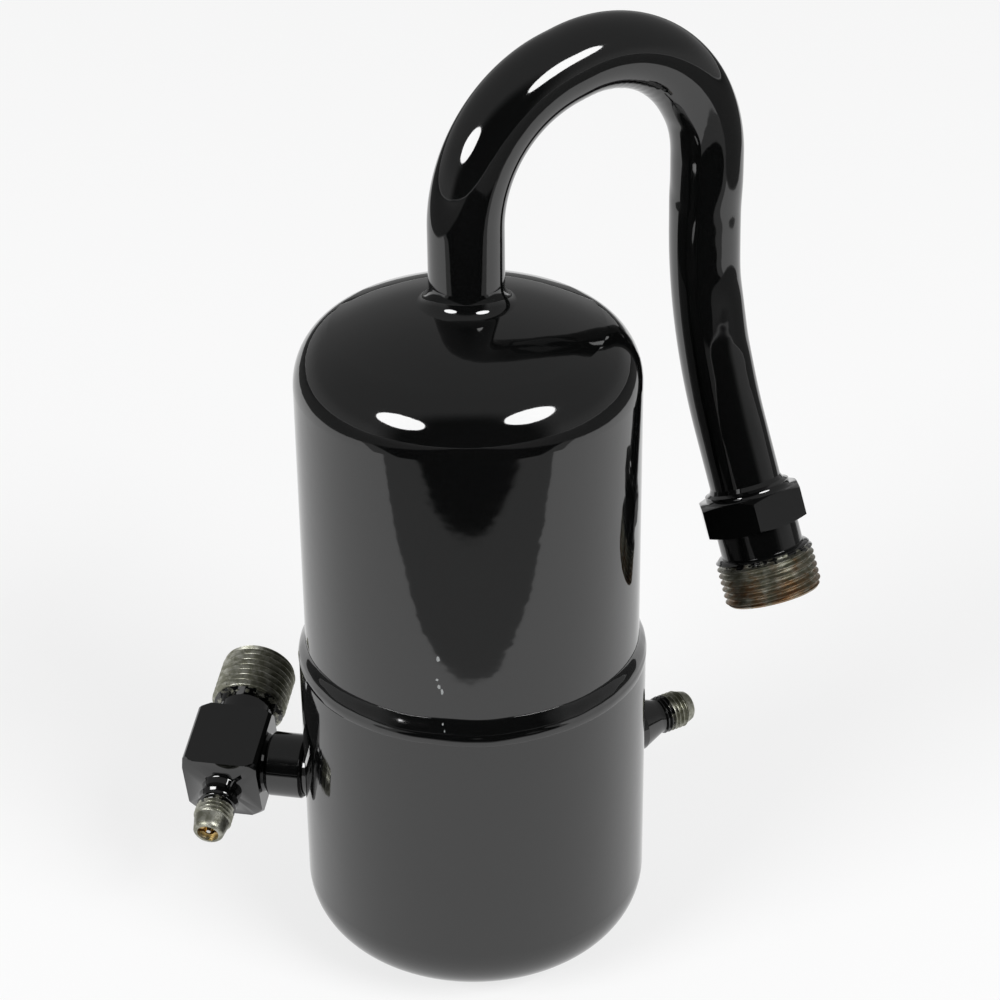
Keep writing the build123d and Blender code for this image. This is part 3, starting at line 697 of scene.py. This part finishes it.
def tube_route():
    """Points along the tube's centre line, evenly spaced, with an arc at each corner."""
    arch_corner = heading(arch_azimuth) * arch_reach + Vector((0, 0, arch_corner_z))
    kink_corner = heading(kink_azimuth) * kink_reach + Vector((0, 0, kink_corner_z))
    tail_end = kink_corner + heading(tail_azimuth, tail_tilt - pi / 2) * tail_length
    corners = [Vector((0, 0, tube_start_z)), neck_corner, arch_corner, kink_corner, tail_end]
    rough = [corners[0]]
    for before, corner, after, radius in zip(corners, corners[1:], corners[2:], bend_radii):
        into = (corner - before).normalized()
        out = (after - corner).normalized()
        turn = into.angle(out)
        centre = corner + (out - into).normalized() * radius / cos(turn / 2)
        spoke = corner - into * radius * tan(turn / 2) - centre
        steps = int(radius * turn / tube_spacing) + 1
        for step in range(steps + 1):
            turned = Matrix.Rotation(turn * step / steps, 3, into.cross(out)) @ spoke
            rough.append(centre + turned)
    rough.append(tail_end)
    route = [rough[0]]
    for start, end in zip(rough, rough[1:]):
        pieces = max(1, round((end - start).length / tube_spacing))
        route += [start.lerp(end, piece / pieces) for piece in range(1, pieces + 1)]
    return route


def dent_depth(point, outward):
    """How far the wall is pushed in at a point of the tube's surface."""
    depth = 0.0
    for place, facing, most, along, around in tube_dents:
        distance = (point - place).length - tube_radius
        turn = 1 - outward.dot(facing.normalized())
        depth += most * 2.718 ** -((max(0.0, distance) / along) ** 2 + (turn / around) ** 2)
    offset = point - wrinkle_place
    turn = 1 - outward.dot(wrinkle_side.normalized())
    fade = 2.718 ** -((offset.length / (wrinkle_reach + tube_radius)) ** 4 + (turn / 0.35) ** 2)
    wave = sin(2 * pi * offset.dot(heading(arch_azimuth)) / wrinkle_pitch)
    return depth + wrinkle_depth * (1 + wave) * fade


def build_gooseneck(material):
    """The outlet tube on the solid's route, with the dents and wrinkles of its bends."""
    route = tube_route()
    mesh = bmesh.new()
    side = Vector((1, 0, 0))
    outer_rows = []
    inner_rows = []
    for number, point in enumerate(route):
        before = route[max(number - 1, 0)]
        after = route[min(number + 1, len(route) - 1)]
        tangent = (after - before).normalized()
        side = (side - tangent * side.dot(tangent)).normalized()
        across = tangent.cross(side)

        def ring(sides, radius, dented):
            row = []
            for step in range(sides):
                angle = 2 * pi * step / sides
                outward = side * cos(angle) + across * sin(angle)
                spot = point + outward * radius
                if dented:
                    spot -= outward * dent_depth(spot, outward)
                row.append(mesh.verts.new(spot))
            return row

        outer_rows.append(ring(tube_sides, tube_radius, True))
        inner_rows.append(ring(bore_sides, tube_bore_radius, False))

    def skin(rows, sides):
        for lower, upper in zip(rows, rows[1:]):
            for step in range(sides):
                after = (step + 1) % sides
                mesh.faces.new((lower[step], lower[after], upper[after], upper[step]))

    skin(outer_rows, tube_sides)
    skin(inner_rows, bore_sides)
    ratio = tube_sides // bore_sides
    for end in (0, -1):
        for step in range(bore_sides):
            after = (step + 1) % bore_sides
            rim = [outer_rows[end][(step * ratio + extra) % tube_sides] for extra in range(ratio + 1)]
            mesh.faces.new((*rim, inner_rows[end][after], inner_rows[end][step]))
    bmesh.ops.recalc_face_normals(mesh, faces=mesh.faces)
    data = bpy.data.meshes.new("outlet_tube_bent")
    mesh.to_mesh(data)
    mesh.free()
    data.shade_smooth()
    data.set_sharp_from_angle(angle=pi / 4)
    data.materials.append(material)
    piece = bpy.data.objects.new("outlet_tube_bent", data)
    scene.collection.objects.link(piece)
    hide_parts("outlet_tube")
    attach(piece, "canister")
    return piece


def dress_nodes(materials):
    """Gives each CAD node the full material of its slot."""
    for source in frame["nodes"].values():
        for slot in source.material_slots:
            slot_name = slot.material.name.split(".")[0]
            slot.material = materials[slot_name]


build_camera()
build_floor()
build_painted_reflection_sheet()
build_world()
build_lamps()
materials = slot_materials()
dress_nodes(materials)
frame["nodes"]["upper_shell"].material_slots[0].material = black_paint("upper_shell_paint", wall_chips)
build_seam_bead(black_paint("seam_paint", bead_chips))
build_gooseneck(materials["black_paint"])
thread_node(
    "outlet_fitting",
    [("outlet_thread", outlet_pitch)],
    part_bare("outlet_fitting_finish", [("outlet_thread", -0.0042)], rust=0.9),
)
thread_node(
    "inlet_block",
    [("inlet_thread", inlet_pitch), ("service_port_thread", port_pitch)],
    part_bare("inlet_block_finish", [("inlet_thread", -0.0062), ("service_port_thread", -0.001)]),
)
thread_node(
    "switch_port",
    [("switch_port_thread", port_pitch)],
    part_bare("switch_port_finish", [("switch_port_thread", -0.001)]),
)
